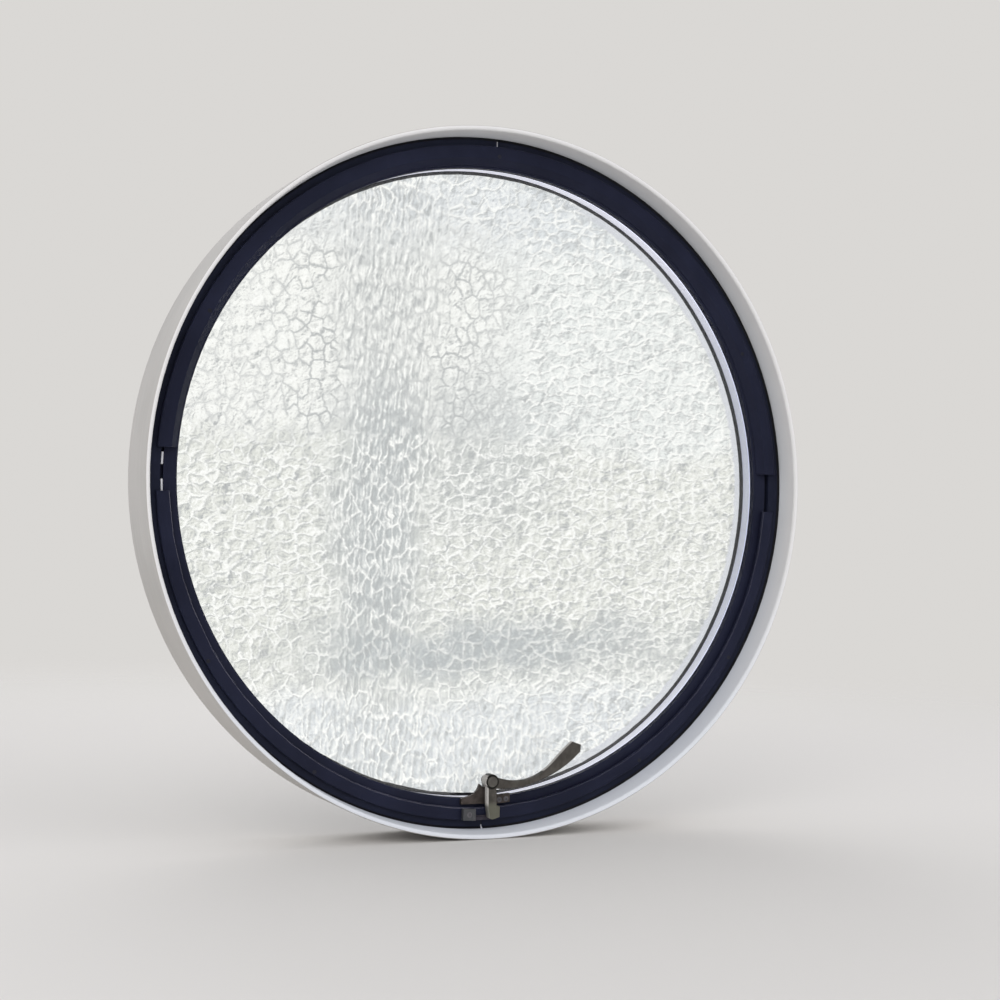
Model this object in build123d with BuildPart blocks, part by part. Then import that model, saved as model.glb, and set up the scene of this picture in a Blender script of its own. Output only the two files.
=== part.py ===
from build123d import *
import math
import os

os.makedirs("parts", exist_ok=True)

# Round centre-pivot ventilation window, in millimetres.
# The origin is the centre of the ring, on the pivot axis. X runs along the two pivots,
# -Y faces the room, +Y faces outdoors and +Z is up.
# The top of the sash swings into the room while its bottom swings outdoors, so the stops and
# flanges change from one side to the other at the pivots.

# Frame
frame_r = 325.0
frame_wall = 12.0
frame_face = -14.0
frame_skin = 3.0
seam_width = 1.2
seam_length = 7.5
seam_set_back = 0.3

# Lining ring round the frame
liner_wall = 6.0
liner_flare = 2.0
liner_front = 26.5
liner_back = 8.0
liner_lip = 12.4
liner_nose = 3.0
liner_edge = 0.8
sealant_leg = 1.8

# Sash
sash_gap = 3.0
sash_wall = 3.5
sash_depth = 32.0
face_gap = 2.0
back_wall = 2.0
bead_cover = 9.0
bead_bevel = 1.5

# Weathering strips: stops on the frame and flanges on the sash
strip_lap = 4.5
strip_thick = 4.0
strip_edge = 0.8
end_clear = 1.0
bevel_toe = 2.0
bevel_foot = 1.0
seal_air = 0.3
seal_width = 3.0
seal_inset = 0.7

# Sealed glass unit
gasket_thick = 1.0
gasket_cover = 0.6
pane_thick = 4.0
glass_play = 0.8
spacer_width = 11.3
spacer_depth = 4.5
spacer_inset = 1.0
butyl_thick = 0.7
butyl_bleed = 2.3
block_length = 32.0

# Pivots
stud_r = 4.0
stud_tip_gap = 0.5
stud_head_r = 6.5
stud_head = 3.0
stud_seat = 3.0
bush_wall = 1.5
collar_r = 6.4
collar_gap = 0.4
plate_thick = 1.5
plate_height = 38.6
plate_margin = 4.0
plate_screw_pitch = 25.0
block_height = 32.0
block_rise = 8.5

# Clearances
fit_gap = 0.05
seat_gap = 0.4
head_sunk = 0.1

# Latch on the sash
hub_x = 4.5
hub_above = 17.1
hub_r = 6.8
hub_length = 9.7
pin_r = 3.0
pin_head_r = 4.9
pin_head = 0.8
washer_thick = 0.3
bracket_left = -21.5
bracket_right = 28.2
bracket_over = 2.6
bracket_thick = 4.0
bracket_clear = 2.5
notch_out = 2.7
notch_drop = 7.4
horn_out = 7.6
horn_drop = 3.5
wing_run = 12.9
wing_drop = 12.3
wing_end = 5.2
neck_right = 14.0
ear_thick = 2.0
ear_r = 4.6
arm_reach = 93.3
arm_thick = 5.5
arm_set_back = 1.2
arm_edge = 1.0
hub_edge = 0.5
spur_thick = 6.0
spur_clear = 1.0
spur_reach = 35.3
spur_half_width = 4.6
spur_taper = 0.6
spur_bevel = 2.2
foot_half_width = 5.4
foot_offset = 3.2
foot_length = 11.2
foot_point = 1.5
foot_point_offset = 1.8
step_slope = 0.6

# Keeper on the lower stop
keeper_left = -22.0
keeper_right = 13.0
keeper_thick = 2.0
keeper_pad = 12.6
keeper_pad_rise = 3.0
keeper_inset = 0.6
keeper_strip = 4.6

# Screws
sink_angle = 82.0
strip_screw_r = 1.0
strip_screw_head = 2.0
strip_screw_length = 10.0
flange_screw_length = 16.0
fixing_screw_r = 2.0
fixing_screw_head = 3.6
fixing_screw_length = 15.5
joint_screw_length = 7.0
joint_screw_pitch = 40.0
joint_key_length = 72.0
joint_key_thick = 5.0
tongue_root = 1.0
bracket_screw_r = 1.1
bracket_screw_head = 2.6
bracket_screw_length = 9.0
socket_r = 1.1
socket_depth = 0.9
bracket_screw_inset = 3.8
bracket_screw_pitch = 6.9
bracket_screw_drop = 0.7
plate_screw_r = 1.0
plate_screw_head = 1.9
plate_screw_length = 4.2

# Radii that follow from the sizes above
frame_bore = frame_r - frame_wall
web_r = frame_bore + frame_skin
seat_r = frame_r + seat_gap
liner_r = seat_r + liner_wall
sash_r = frame_bore - sash_gap
sash_inner = sash_r - sash_wall
sight_r = sash_inner - bead_cover
strip_in = sash_r - strip_lap
strip_out = frame_bore + strip_lap
pane_r = sash_inner - glass_play
spacer_in = sight_r + spacer_inset
spacer_out = spacer_in + spacer_depth
gasket_in = sight_r + gasket_cover
hub_z = hub_above - sight_r

# Depths that follow, from the room to outdoors
sash_face = frame_face + face_gap
sash_back = sash_face + sash_depth
frame_back = sash_back + face_gap
nose_y = frame_face - liner_front
liner_end = frame_back + liner_back
stop_face = frame_face - strip_thick
flange_seat = frame_face - face_gap
flange_face = flange_seat - strip_thick
outer_stop_face = frame_back + strip_thick
outer_flange_seat = frame_back + face_gap
outer_flange_face = outer_flange_seat + strip_thick
unit_thick = 2 * pane_thick + spacer_width + butyl_thick
upstand_face = sash_back - back_wall
bead_back = upstand_face - 2 * gasket_thick - unit_thick
pane_in_front = bead_back + gasket_thick
pane_in_back = pane_in_front + pane_thick
spacer_back = pane_in_back + spacer_width
pane_out_front = spacer_back + butyl_thick
pane_out_back = pane_out_front + pane_thick

# Where the strips end, so that the open sash passes them
inner_strip_end = end_clear - stop_face
outer_stop_end = sash_back + face_gap
outer_flange_end = outer_stop_face + end_clear

# Latch depths and heights that follow
bracket_face = sash_face - bracket_thick
ear_face = bracket_face - ear_thick
hub_back = ear_face - washer_thick
hub_face = hub_back - hub_length
keeper_face = stop_face - keeper_thick
pad_face = keeper_face - keeper_pad_rise
spur_back = keeper_face - spur_clear
arm_face = hub_face + arm_set_back
bracket_in = sight_r - bracket_over
bracket_out = strip_in - bracket_clear


def facing(depth):
    """Plane across the window at this depth, seen from the room, X right and Z up."""
    return Plane.XZ.offset(-depth)


def radial(angle, radius, depth):
    """Plane at this place round the ring, whose normal points at the ring's centre."""
    turn = math.radians(angle)
    out = Vector(math.cos(turn), 0, math.sin(turn))
    return Plane(origin=out * radius + Vector(0, depth, 0), x_dir=(0, 1, 0), z_dir=-out)


def outward(angle, radius, depth):
    """Plane at this place round the ring, whose normal points away from the ring's centre."""
    inward = radial(angle, radius, depth)
    return Plane(origin=inward.origin, x_dir=inward.x_dir, z_dir=-inward.z_dir)


def axial(angle, radius, depth, toward_room=True):
    """Plane at this place round the ring, whose normal points along the ring's axis."""
    turn = math.radians(angle)
    place = (radius * math.cos(turn), depth, radius * math.sin(turn))
    return Plane(origin=place, x_dir=(1, 0, 0), z_dir=(0, -1 if toward_room else 1, 0))


def section(*corners):
    """Closed outline from (radius, depth) corners, for turning about the ring's axis."""
    with BuildSketch(Plane.XY) as outline:
        with BuildLine():
            Polyline(*corners, close=True)
        make_face()
    return outline.sketch


def rectangle(r_in, r_out, front, back):
    """Rectangular section between two radii and two depths."""
    return section((r_in, front), (r_out, front), (r_out, back), (r_in, back))


def sector(middle, length, r_in, r_out, front, back):
    """Curved block of rectangular section, this long round the ring, centred at an angle."""
    half_turn = math.degrees(length / 2 / r_in)
    start = math.radians(middle - half_turn)
    across = Plane(origin=(0, 0, 0), x_dir=(math.cos(start), 0, math.sin(start)),
                   z_dir=(-math.sin(start), 0, math.cos(start)))
    with BuildPart() as block:
        with BuildSketch(across):
            with Locations(((r_in + r_out) / 2, (front + back) / 2)):
                Rectangle(r_out - r_in, back - front)
        revolve(axis=Axis((0, 0, 0), (0, -1, 0)), revolution_arc=2 * half_turn)
    return block.part


def strip_section(front, back, soft_front):
    """Flat weathering strip with its two exposed edges eased."""
    exposed = front if soft_front else back
    with BuildSketch(Plane.XY) as outline:
        add(rectangle(strip_in, strip_out, front, back))
        chamfer(outline.vertices().filter_by_position(Axis.Y, exposed - 0.01, exposed + 0.01),
                strip_edge)
    return outline.sketch


def seal_section(r_in, seat, toward):
    """Lip seal with a peaked free side, from its seat towards the face that it meets."""
    lip = (face_gap - seal_air) * toward
    return section((r_in, seat), (r_in, seat + lip / 2), (r_in + seal_width / 2, seat + lip),
                   (r_in + seal_width, seat + lip / 2), (r_in + seal_width, seat))


def sink_depth(head_r, shank_r):
    """Depth of a countersunk head."""
    return (head_r - shank_r) / math.tan(math.radians(sink_angle / 2))


def countersunk_screw(head_r, shank_r, length, socketed):
    """Countersunk screw, its face at the origin and its point below, with or without a socket."""
    sink = sink_depth(head_r, shank_r)
    with BuildPart() as screw:
        with BuildSketch(Plane.XZ):
            with BuildLine():
                Polyline((0, -fit_gap), (head_r - fit_gap, -fit_gap), (shank_r - fit_gap, -sink),
                         (shank_r - fit_gap, -length), (0, -length), close=True)
            make_face()
        revolve(axis=Axis.Z)
        if socketed:
            Cylinder(socket_r, 2 * socket_depth, mode=Mode.SUBTRACT)
    return screw.part


def screw_set(planes, head_r, shank_r, length, socketed=False):
    """Like screws at several planes."""
    with BuildPart() as screws:
        with Locations(*planes):
            add(countersunk_screw(head_r, shank_r, length, socketed))
    return screws.part


def finish(builder, name):
    """Labels a finished piece and writes it to its own file."""
    builder.part.label = name
    export_step(builder.part, f"parts/{name}.step")


# Places of the fasteners round the ring, in degrees from +X towards +Z
inner_stop_angles = (212, 238, 302, 328)
outer_stop_angles = (25, 90, 155)
inner_flange_angles = (27, 90, 153)
outer_flange_angles = (210, 270, 330)
fixing_angles = (45, 135, 225, 315)
block_angles = (14, 166, 250, 290)
joint_screw_turn = math.degrees(joint_screw_pitch / 2 / frame_bore)
plate_screw_turn = math.degrees(plate_screw_pitch / 2 / sash_r)

strip_screw_radius = (frame_bore + web_r) / 2
flange_screw_radius = (sash_inner + sash_r) / 2
frame_mid = (frame_face + frame_back) / 2
sash_mid = (sash_face + sash_back) / 2
fixing_depth = frame_mid - 6.0

fixing_planes = [radial(a, frame_bore + head_sunk, fixing_depth) for a in fixing_angles]
joint_planes = [
    radial(middle + side * joint_screw_turn, frame_bore + head_sunk, frame_mid)
    for middle in (90, 270)
    for side in (-1, 1)
]
plate_screw_planes = [
    outward(middle + side * plate_screw_turn, sash_r + plate_thick - head_sunk, sash_mid)
    for middle in (0, 180)
    for side in (-1, 1)
]
inner_stop_planes = [axial(a, strip_screw_radius, stop_face) for a in inner_stop_angles]
outer_stop_planes = [
    axial(a, strip_screw_radius, outer_stop_face, False) for a in outer_stop_angles
]
inner_flange_planes = [axial(a, flange_screw_radius, flange_face) for a in inner_flange_angles]
outer_flange_planes = [
    axial(a, flange_screw_radius, outer_flange_face, False) for a in outer_flange_angles
]

# Lining ring: the frame's outer leg seats against its back lip
with BuildPart() as wall_liner:
    with BuildSketch(Plane.XY) as liner_outline:
        add(section(
            (seat_r, frame_face),
            (seat_r + liner_flare, nose_y),
            (liner_r, nose_y),
            (liner_r, liner_end),
            (liner_r - liner_lip, liner_end),
            (liner_r - liner_lip, frame_back),
            (seat_r, frame_back),
        ))
        front_corners = liner_outline.vertices().group_by(Axis.Y)[0].sort_by(Axis.X)
        fillet(front_corners[0], liner_nose)
        outer_front = liner_outline.vertices().group_by(Axis.Y)[0].sort_by(Axis.X)[-1]
        chamfer(outer_front, liner_edge)
    revolve(axis=Axis.Y)
    with Locations(*fixing_planes):
        Hole(fixing_screw_r, depth=fixing_screw_length + fit_gap)
finish(wall_liner, "wall_liner")

# Frame: two rolled half rings of outward channel, butted at the top and the bottom
for side, name in ((-1, "frame_half_left"), (1, "frame_half_right")):
    with BuildPart() as frame_half:
        revolve(section(
            (frame_bore, frame_face),
            (frame_r, frame_face),
            (frame_r, frame_face + frame_skin),
            (web_r, frame_face + frame_skin),
            (web_r, frame_back - frame_skin),
            (frame_r, frame_back - frame_skin),
            (frame_r, frame_back),
            (frame_bore, frame_back),
        ), axis=Axis.Y)
        split(bisect_by=Plane.YZ, keep=Keep.TOP if side > 0 else Keep.BOTTOM)
        seam_z = frame_r - seam_length / 2
        with Locations((0, frame_face + frame_skin / 2, seam_z),
                       (0, frame_face + frame_skin / 2, -seam_z)):
            Box(seam_width, frame_skin + 2 * fit_gap, seam_length + fit_gap, mode=Mode.SUBTRACT)
        with Locations(Plane.YZ):
            Cylinder(stud_r + fit_gap, 2 * frame_r, mode=Mode.SUBTRACT)
        with Locations(*fixing_planes):
            CounterSinkHole(fixing_screw_r, fixing_screw_head, frame_wall)
        with Locations(*joint_planes):
            CounterSinkHole(fixing_screw_r, fixing_screw_head, frame_skin)
        with Locations(*inner_stop_planes, *outer_stop_planes):
            Hole(strip_screw_r, depth=strip_screw_length + fit_gap)
    finish(frame_half, name)

# Joint keys: curved plates inside the channel, with a bright tongue that shows in each seam
for middle, name in ((90, "joint_key_top"), (270, "joint_key_bottom")):
    up = 1 if middle == 90 else -1
    with BuildPart() as joint_key:
        add(sector(middle, joint_key_length, web_r + fit_gap, web_r + joint_key_thick,
                   frame_face + frame_skin + fit_gap, frame_back - frame_skin - fit_gap))
        tongue_in = frame_r - seam_length
        tongue_front = frame_face + seam_set_back
        tongue_back = frame_face + frame_skin + tongue_root
        with Locations((0, (tongue_front + tongue_back) / 2, up * (tongue_in + frame_r) / 2)):
            Box(seam_width - 2 * fit_gap, tongue_back - tongue_front, seam_length - 4 * fit_gap)
        with Locations(*joint_planes):
            Hole(fixing_screw_r, depth=joint_screw_length + fit_gap)
    finish(joint_key, name)

with BuildPart() as joint_screws:
    add(screw_set(joint_planes, fixing_screw_head, fixing_screw_r, joint_screw_length))
finish(joint_screws, "joint_screws")

with BuildPart() as frame_fixing_screws:
    add(screw_set(fixing_planes, fixing_screw_head, fixing_screw_r, fixing_screw_length))
finish(frame_fixing_screws, "frame_fixing_screws")

# Sealant between the frame's face and the lining ring
with BuildPart() as perimeter_sealant:
    flare_slope = liner_flare / liner_front
    revolve(section(
        (seat_r - sealant_leg, frame_face),
        (seat_r - fit_gap, frame_face),
        (seat_r - fit_gap + flare_slope * sealant_leg, frame_face - sealant_leg),
    ), axis=Axis.Y)
finish(perimeter_sealant, "perimeter_sealant")

# Stops on the frame: the lower one faces the room, the upper one faces outdoors
keeper_screw_x = keeper_left + keeper_pad / 2
keeper_screw_z = -math.sqrt(((strip_in + strip_out) / 2) ** 2 - keeper_screw_x ** 2)
keeper_screw_plane = Plane(origin=(keeper_screw_x, pad_face, keeper_screw_z), x_dir=(1, 0, 0),
                           z_dir=(0, -1, 0))

with BuildPart() as inner_stop:
    revolve(strip_section(stop_face, frame_face, True), axis=Axis.Y)
    split(bisect_by=Plane.XY.offset(-inner_strip_end), keep=Keep.BOTTOM)
    with Locations(*inner_stop_planes):
        CounterSinkHole(strip_screw_r, strip_screw_head, strip_thick)
    with Locations(keeper_screw_plane):
        Hole(bracket_screw_r, depth=bracket_screw_length)
finish(inner_stop, "inner_stop")

with BuildPart() as outer_stop:
    revolve(strip_section(frame_back, outer_stop_face, False), axis=Axis.Y)
    split(bisect_by=Plane.XY.offset(outer_stop_end), keep=Keep.TOP)
    with Locations(*outer_stop_planes):
        CounterSinkHole(strip_screw_r, strip_screw_head, strip_thick)
finish(outer_stop, "outer_stop")

with BuildPart() as stop_screws:
    add(screw_set(inner_stop_planes + outer_stop_planes, strip_screw_head, strip_screw_r,
                  strip_screw_length))
finish(stop_screws, "stop_screws")

# Sash: an angle section, its upstand on the outdoor side
with BuildPart() as sash_ring:
    revolve(section(
        (sash_inner, sash_face),
        (sash_r, sash_face),
        (sash_r, sash_back),
        (sight_r + back_wall / 2, sash_back),
        (sight_r, sash_back - back_wall / 2),
        (sight_r, upstand_face),
        (sash_inner, upstand_face),
    ), axis=Axis.Y)
    with Locations(Plane.YZ):
        Cylinder(stud_r + bush_wall, 2 * frame_r, mode=Mode.SUBTRACT)
    with Locations(*inner_flange_planes):
        Hole(strip_screw_r, depth=flange_screw_length + fit_gap)
    with Locations(*outer_flange_planes):
        Hole(strip_screw_r, depth=flange_screw_length + fit_gap)
    with Locations(*plate_screw_planes):
        Hole(plate_screw_r, depth=plate_screw_length + fit_gap)
finish(sash_ring, "sash_ring")

# Flanges on the sash: the upper one laps the frame indoors, the lower one laps it outdoors
with BuildPart() as inner_flange:
    revolve(section(
        (strip_out - strip_edge, flange_face),
        (strip_out, flange_face + strip_edge),
        (strip_out, flange_seat),
        (sash_r, flange_seat),
        (sash_r, sash_face),
        (sight_r + bevel_toe, sash_face),
        (sight_r + bevel_toe, sash_face - bevel_foot),
        (strip_in, flange_face),
    ), axis=Axis.Y)
    split(bisect_by=Plane.XY.offset(inner_strip_end), keep=Keep.TOP)
    with Locations(*inner_flange_planes):
        CounterSinkHole(strip_screw_r, strip_screw_head, 2 * strip_thick + face_gap)
finish(inner_flange, "inner_flange")

with BuildPart() as outer_flange:
    revolve(section(
        (strip_in, outer_flange_face),
        (strip_out - strip_edge, outer_flange_face),
        (strip_out, outer_flange_face - strip_edge),
        (strip_out, outer_flange_seat),
        (sash_r, outer_flange_seat),
        (sash_r, sash_back),
        (strip_in, sash_back),
    ), axis=Axis.Y)
    split(bisect_by=Plane.XY.offset(-outer_flange_end), keep=Keep.BOTTOM)
    with Locations(*outer_flange_planes):
        CounterSinkHole(strip_screw_r, strip_screw_head, 2 * strip_thick + face_gap)
finish(outer_flange, "outer_flange")

with BuildPart() as flange_screws:
    add(screw_set(inner_flange_planes + outer_flange_planes, strip_screw_head, strip_screw_r,
                  flange_screw_length))
finish(flange_screws, "flange_screws")

# Weather seals, one in each strip's overlap
with BuildPart() as inner_stop_seal:
    revolve(seal_section(strip_in + seal_inset, frame_face, 1), axis=Axis.Y)
    split(bisect_by=Plane.XY.offset(-inner_strip_end), keep=Keep.BOTTOM)
finish(inner_stop_seal, "inner_stop_seal")

with BuildPart() as outer_stop_seal:
    revolve(seal_section(strip_in + seal_inset, frame_back, -1), axis=Axis.Y)
    split(bisect_by=Plane.XY.offset(outer_stop_end), keep=Keep.TOP)
finish(outer_stop_seal, "outer_stop_seal")

with BuildPart() as inner_flange_seal:
    revolve(seal_section(frame_bore + seal_inset, flange_seat, 1), axis=Axis.Y)
    split(bisect_by=Plane.XY.offset(inner_strip_end), keep=Keep.TOP)
finish(inner_flange_seal, "inner_flange_seal")

with BuildPart() as outer_flange_seal:
    revolve(seal_section(frame_bore + seal_inset, outer_flange_seat, -1), axis=Axis.Y)
    split(bisect_by=Plane.XY.offset(-outer_flange_end), keep=Keep.BOTTOM)
finish(outer_flange_seal, "outer_flange_seal")

# Glazing: bead, gaskets, two panes, spacer bar and edge seal
bracket_screw_radius = (bracket_in + bracket_out) / 2 + bracket_screw_drop
bracket_screw_x = [
    bracket_right - bracket_screw_inset - step * bracket_screw_pitch for step in (0, 1)
]
bracket_screw_planes = [
    Plane(origin=(x, bracket_face, -math.sqrt(bracket_screw_radius ** 2 - x ** 2)),
          x_dir=(1, 0, 0), z_dir=(0, -1, 0))
    for x in bracket_screw_x
]

with BuildPart() as glazing_bead:
    revolve(section(
        (sight_r, bead_back),
        (sight_r, sash_face + bead_bevel),
        (sight_r + bead_bevel, sash_face),
        (sash_inner - fit_gap, sash_face),
        (sash_inner - fit_gap, bead_back),
    ), axis=Axis.Y)
    with Locations(*bracket_screw_planes):
        Hole(bracket_screw_r, depth=bracket_screw_length + fit_gap)
finish(glazing_bead, "glazing_bead")

with BuildPart() as inner_gasket:
    revolve(rectangle(gasket_in, pane_r, bead_back, pane_in_front), axis=Axis.Y)
finish(inner_gasket, "inner_gasket")

with BuildPart() as inner_pane:
    with BuildSketch(facing(pane_in_back)):
        Circle(pane_r)
    extrude(amount=pane_thick)
finish(inner_pane, "inner_pane")

with BuildPart() as spacer_bar:
    revolve(rectangle(spacer_in, spacer_out, pane_in_back, spacer_back), axis=Axis.Y)
finish(spacer_bar, "spacer_bar")

with BuildPart() as edge_seal:
    revolve(section(
        (spacer_out + fit_gap, pane_in_back),
        (pane_r, pane_in_back),
        (pane_r, pane_out_front),
        (spacer_in - butyl_bleed, pane_out_front),
        (spacer_in - butyl_bleed, spacer_back),
        (spacer_out + fit_gap, spacer_back),
    ), axis=Axis.Y)
finish(edge_seal, "edge_seal")

with BuildPart() as patterned_pane:
    with BuildSketch(facing(pane_out_back)):
        Circle(pane_r)
    extrude(amount=pane_thick)
finish(patterned_pane, "patterned_pane")

with BuildPart() as outer_gasket:
    revolve(rectangle(gasket_in, pane_r, pane_out_back, upstand_face), axis=Axis.Y)
finish(outer_gasket, "outer_gasket")

with BuildPart() as setting_blocks:
    for angle in block_angles:
        add(sector(angle, block_length, pane_r + fit_gap, sash_inner - fit_gap, pane_in_front,
                   pane_out_back))
finish(setting_blocks, "setting_blocks")

# Pivots: a stud in each side of the frame turns in a bush in the sash
stud_tip = sash_inner + stud_tip_gap
stud_shoulder = web_r + stud_seat
for side, name in ((-1, "pivot_stud_left"), (1, "pivot_stud_right")):
    with BuildPart() as pivot_stud:
        with BuildSketch(Plane.YZ.offset(side * stud_tip)):
            Circle(stud_r)
        extrude(amount=side * (stud_shoulder - stud_tip))
        with BuildSketch(Plane.YZ.offset(side * stud_shoulder)):
            Circle(stud_head_r)
        extrude(amount=side * stud_head)
    finish(pivot_stud, name)

with BuildPart() as pivot_blocks:
    for middle, side in ((0, 1), (180, -1)):
        add(sector(middle, block_height, web_r + fit_gap, web_r + block_rise,
                   frame_face + frame_skin + fit_gap, frame_back - frame_skin - fit_gap))
        with BuildSketch(Plane.YZ.offset(side * web_r)):
            Circle(stud_r + fit_gap)
        extrude(amount=side * stud_seat, mode=Mode.SUBTRACT)
        with BuildSketch(Plane.YZ.offset(side * stud_shoulder)):
            Circle(stud_head_r + fit_gap)
        extrude(amount=side * block_rise, mode=Mode.SUBTRACT)
finish(pivot_blocks, "pivot_blocks")

collar_end = frame_bore - collar_gap
for side, name in ((-1, "pivot_bush_left"), (1, "pivot_bush_right")):
    with BuildPart() as pivot_bush:
        with BuildSketch(Plane.YZ.offset(side * sash_inner)):
            Circle(stud_r + bush_wall - fit_gap)
            Circle(stud_r + fit_gap, mode=Mode.SUBTRACT)
        extrude(amount=side * sash_wall)
        with BuildSketch(Plane.YZ.offset(side * sash_r)):
            Circle(collar_r)
            Circle(stud_r + fit_gap, mode=Mode.SUBTRACT)
        extrude(amount=side * (collar_end - sash_r))
    finish(pivot_bush, name)

for middle, name in ((180, "pivot_plate_left"), (0, "pivot_plate_right")):
    with BuildPart() as pivot_plate:
        add(sector(middle, plate_height, sash_r + fit_gap, sash_r + plate_thick,
                   sash_face + plate_margin, sash_back - plate_margin))
        with Locations(Plane.YZ):
            Cylinder(collar_r + fit_gap, 2 * frame_r, mode=Mode.SUBTRACT)
        with Locations(*plate_screw_planes):
            CounterSinkHole(plate_screw_r, plate_screw_head, 2 * plate_thick)
    finish(pivot_plate, name)

# Latch bracket: a bell-shaped base on the glazing bead that carries the pivot ear
hub_place = (hub_x, hub_z)
with BuildPart() as handle_bracket:
    with BuildSketch(facing(sash_face)):
        Circle(bracket_out)
        Circle(bracket_in, mode=Mode.SUBTRACT)
        with Locations(((hub_x + bracket_right) / 2, -bracket_out)):
            Rectangle(bracket_right - hub_x, bracket_out, mode=Mode.INTERSECT)
        with BuildLine():
            base_z = -math.sqrt(bracket_out ** 2 - bracket_left ** 2)
            neck = Line((hub_x + neck_right, base_z), (hub_x + ear_r, hub_z))
            head = ThreePointArc(neck @ 1, (hub_x, hub_z + ear_r), (hub_x - ear_r, hub_z))
            horn = Polyline(head @ 1, (hub_x - notch_out, hub_z - notch_drop),
                            (hub_x - horn_out, hub_z - horn_drop))
            wing = Spline(horn @ 1, (hub_x - wing_run, hub_z - wing_drop),
                          (bracket_left, base_z + wing_end), tangents=((-0.2, -1), (-1, -0.35)))
            Polyline(wing @ 1, (bracket_left, base_z), neck @ 0)
        make_face()
    extrude(amount=bracket_thick)
    with BuildSketch(facing(bracket_face)):
        with Locations(hub_place):
            Circle(ear_r)
    extrude(amount=ear_thick)
    with BuildSketch(facing(sash_face)):
        with Locations(hub_place):
            Circle(pin_r + fit_gap)
    extrude(amount=bracket_thick + ear_thick, mode=Mode.SUBTRACT)
    with Locations(*bracket_screw_planes):
        CounterSinkHole(bracket_screw_r, bracket_screw_head, bracket_thick)
finish(handle_bracket, "handle_bracket")

with BuildPart() as bracket_screws:
    add(screw_set(bracket_screw_planes, bracket_screw_head, bracket_screw_r,
                  bracket_screw_length, socketed=True))
finish(bracket_screws, "bracket_screws")

with BuildPart() as wave_washer:
    with BuildSketch(facing(ear_face)):
        with Locations(hub_place):
            Circle(ear_r)
            Circle(pin_r + 2 * fit_gap, mode=Mode.SUBTRACT)
    extrude(amount=washer_thick - fit_gap)
finish(wave_washer, "wave_washer")

# Pin riveted through the bracket's ear and the handle's hub
with BuildPart() as handle_pin:
    with BuildSketch(facing(sash_face)):
        with Locations(hub_place):
            Circle(pin_r)
    extrude(amount=sash_face - hub_face + fit_gap)
    with BuildSketch(facing(hub_face - fit_gap)):
        with Locations(hub_place):
            Circle(pin_head_r)
    extrude(amount=pin_head)
    fillet(handle_pin.edges().group_by(Axis.Y)[0], pin_head / 3)
finish(handle_pin, "handle_pin")

# Handle: hub, curved arm and locking spur cast in one
# The arm's edges are given from the hub, as parts of the arm's reach
arm_top = ((0.178, 0.008), (0.331, 0.001), (0.486, 0.038), (0.622, 0.118), (0.758, 0.247),
           (0.904, 0.375))
arm_tip = ((1.0, 0.341), (0.995, 0.27))
arm_under = ((0.796, 0.113), (0.521, -0.018), (0.35, -0.065), (0.18, -0.082))


def from_hub(points):
    """Places on the handle, from parts of the arm's reach."""
    return [(hub_x + x * arm_reach, hub_z + z * arm_reach) for x, z in points]


with BuildPart() as handle_arm:
    with BuildSketch(facing(arm_face + arm_thick)):
        with BuildLine():
            top = Spline((hub_x, hub_z + hub_r - hub_edge), *from_hub(arm_top))
            tip = Polyline(top @ 1, *from_hub(arm_tip))
            under = Spline(tip @ 1, *from_hub(arm_under), (hub_x, hub_z - hub_r + hub_edge))
            Line(under @ 1, top @ 0)
        make_face()
    extrude(amount=arm_thick)
    chamfer(handle_arm.faces().sort_by(Axis.Y)[0].edges(), arm_edge)

with BuildPart() as handle_spur:
    with BuildSketch(facing(spur_back)):
        with BuildLine():
            foot_x = hub_x + foot_offset
            foot_z = hub_z - spur_reach + foot_point
            step_z = foot_z + foot_length
            left = Polyline((hub_x - spur_half_width, hub_z),
                            (hub_x - spur_half_width + spur_taper, step_z),
                            (foot_x - foot_half_width, foot_z))
            point = Polyline(left @ 1, (foot_x - foot_point_offset, hub_z - spur_reach),
                             (foot_x + foot_half_width, foot_z + spur_taper))
            right = Polyline(point @ 1, (foot_x + foot_half_width, step_z - step_slope),
                             (hub_x + spur_half_width + spur_taper, step_z),
                             (hub_x + spur_half_width, hub_z))
            Line(right @ 1, left @ 0)
        make_face()
    extrude(amount=spur_thick)
    spur_front = handle_spur.faces().sort_by(Axis.Y)[0].edges()
    chamfer(spur_front.sort_by(Axis.X)[0:2], spur_bevel, spur_bevel / 2)

with BuildPart() as handle_lever:
    with BuildSketch(facing(hub_back)):
        with Locations(hub_place):
            Circle(hub_r)
    extrude(amount=hub_length)
    chamfer(handle_lever.edges().group_by(Axis.Y)[0], hub_edge)
    add(handle_arm.part)
    add(handle_spur.part)
    with BuildSketch(facing(hub_back)):
        with Locations(hub_place):
            Circle(pin_r + fit_gap)
    extrude(amount=hub_length, mode=Mode.SUBTRACT)
finish(handle_lever, "handle_lever")

# Keeper on the lower stop: a wear strip under the spur with a raised pad beside it
with BuildPart() as keeper:
    with BuildSketch(facing(stop_face)):
        Circle(strip_out - keeper_inset)
        Circle(strip_out - keeper_inset - keeper_strip, mode=Mode.SUBTRACT)
        with Locations(((keeper_left + keeper_right) / 2, -strip_out)):
            Rectangle(keeper_right - keeper_left, strip_out, mode=Mode.INTERSECT)
    extrude(amount=keeper_thick)
    with BuildSketch(facing(stop_face)):
        Circle(strip_out - keeper_inset)
        Circle(strip_in + keeper_inset, mode=Mode.SUBTRACT)
        with Locations((keeper_left + keeper_pad / 2, -strip_out)):
            Rectangle(keeper_pad, strip_out, mode=Mode.INTERSECT)
    extrude(amount=keeper_thick + keeper_pad_rise)
    with Locations(keeper_screw_plane):
        CounterSinkHole(bracket_screw_r, bracket_screw_head, bracket_screw_length)
finish(keeper, "keeper")

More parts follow.
